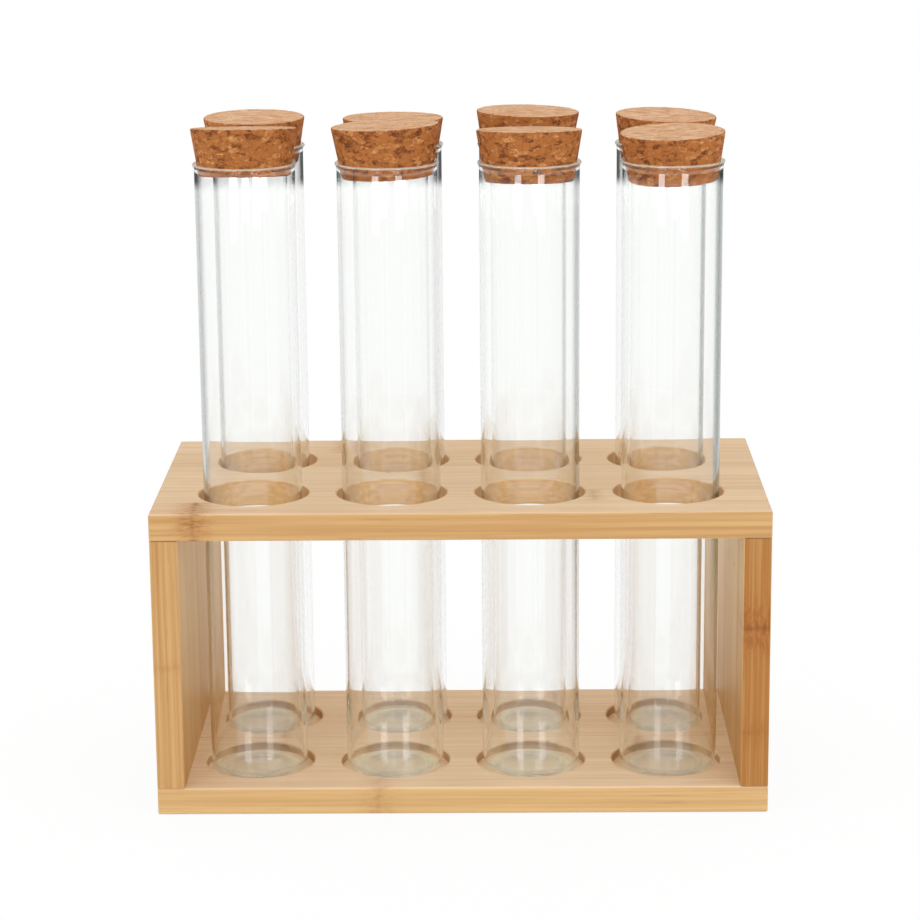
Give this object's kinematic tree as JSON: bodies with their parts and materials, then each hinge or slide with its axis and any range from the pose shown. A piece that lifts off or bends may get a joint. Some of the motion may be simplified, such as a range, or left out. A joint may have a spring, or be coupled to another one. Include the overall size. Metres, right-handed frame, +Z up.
{
  "type": "test tube set",
  "caption": "Flat-bottomed glass test tubes with tapered corks, standing in two rows in an open bamboo rack with a drilled top board.",
  "frame": {"origin": "on the table under the middle of the rack", "axes": "+Z up along the tubes, +X to the right along the rows, the front faces -Y"},
  "size_m": [0.198, 0.101, 0.2216],
  "materials": {
    "bamboo": "sanded and clear oiled",
    "dowel_wood": "plain",
    "glass": "clear, fire polished",
    "cork": "agglomerated cork, cut"
  },
  "bodies": {
    "rack": {"top_board": "bamboo", "bottom_board": "bamboo", "left_side_panel": "bamboo", "right_side_panel": "bamboo", "dowels_top_left": "dowel_wood", "dowels_top_right": "dowel_wood", "dowels_bottom_left": "dowel_wood", "dowels_bottom_right": "dowel_wood"},
    "tube_front_1": {"tube_front_1": "glass"},
    "tube_front_2": {"tube_front_2": "glass"},
    "tube_front_3": {"tube_front_3": "glass"},
    "tube_front_4": {"tube_front_4": "glass"},
    "tube_back_1": {"tube_back_1": "glass"},
    "tube_back_2": {"tube_back_2": "glass"},
    "tube_back_3": {"tube_back_3": "glass"},
    "tube_back_4": {"tube_back_4": "glass"},
    "cork_front_1": {"cork_front_1": "cork"},
    "cork_front_2": {"cork_front_2": "cork"},
    "cork_front_3": {"cork_front_3": "cork"},
    "cork_front_4": {"cork_front_4": "cork"},
    "cork_back_1": {"cork_back_1": "cork"},
    "cork_back_2": {"cork_back_2": "cork"},
    "cork_back_3": {"cork_back_3": "cork"},
    "cork_back_4": {"cork_back_4": "cork"}
  },
  "joints": [
    {"name": "tube_front_1_lift", "type": "slide", "parent": "rack", "child": "tube_front_1", "axis": [0, 0, 1], "range_m": [0, 0.1]},
    {"name": "tube_front_2_lift", "type": "slide", "parent": "rack", "child": "tube_front_2", "axis": [0, 0, 1], "range_m": [0, 0.1]},
    {"name": "tube_front_3_lift", "type": "slide", "parent": "rack", "child": "tube_front_3", "axis": [0, 0, 1], "range_m": [0, 0.1]},
    {"name": "tube_front_4_lift", "type": "slide", "parent": "rack", "child": "tube_front_4", "axis": [0, 0, 1], "range_m": [0, 0.1]},
    {"name": "tube_back_1_lift", "type": "slide", "parent": "rack", "child": "tube_back_1", "axis": [0, 0, 1], "range_m": [0, 0.1]},
    {"name": "tube_back_2_lift", "type": "slide", "parent": "rack", "child": "tube_back_2", "axis": [0, 0, 1], "range_m": [0, 0.1]},
    {"name": "tube_back_3_lift", "type": "slide", "parent": "rack", "child": "tube_back_3", "axis": [0, 0, 1], "range_m": [0, 0.1]},
    {"name": "tube_back_4_lift", "type": "slide", "parent": "rack", "child": "tube_back_4", "axis": [0, 0, 1], "range_m": [0, 0.1]},
    {"name": "cork_front_1_pull", "type": "slide", "parent": "tube_front_1", "child": "cork_front_1", "axis": [0, 0, 1], "range_m": [0, 0.02]},
    {"name": "cork_front_2_pull", "type": "slide", "parent": "tube_front_2", "child": "cork_front_2", "axis": [0, 0, 1], "range_m": [0, 0.02]},
    {"name": "cork_front_3_pull", "type": "slide", "parent": "tube_front_3", "child": "cork_front_3", "axis": [0, 0, 1], "range_m": [0, 0.02]},
    {"name": "cork_front_4_pull", "type": "slide", "parent": "tube_front_4", "child": "cork_front_4", "axis": [0, 0, 1], "range_m": [0, 0.02]},
    {"name": "cork_back_1_pull", "type": "slide", "parent": "tube_back_1", "child": "cork_back_1", "axis": [0, 0, 1], "range_m": [0, 0.02]},
    {"name": "cork_back_2_pull", "type": "slide", "parent": "tube_back_2", "child": "cork_back_2", "axis": [0, 0, 1], "range_m": [0, 0.02]},
    {"name": "cork_back_3_pull", "type": "slide", "parent": "tube_back_3", "child": "cork_back_3", "axis": [0, 0, 1], "range_m": [0, 0.02]},
    {"name": "cork_back_4_pull", "type": "slide", "parent": "tube_back_4", "child": "cork_back_4", "axis": [0, 0, 1], "range_m": [0, 0.02]}
  ]
}
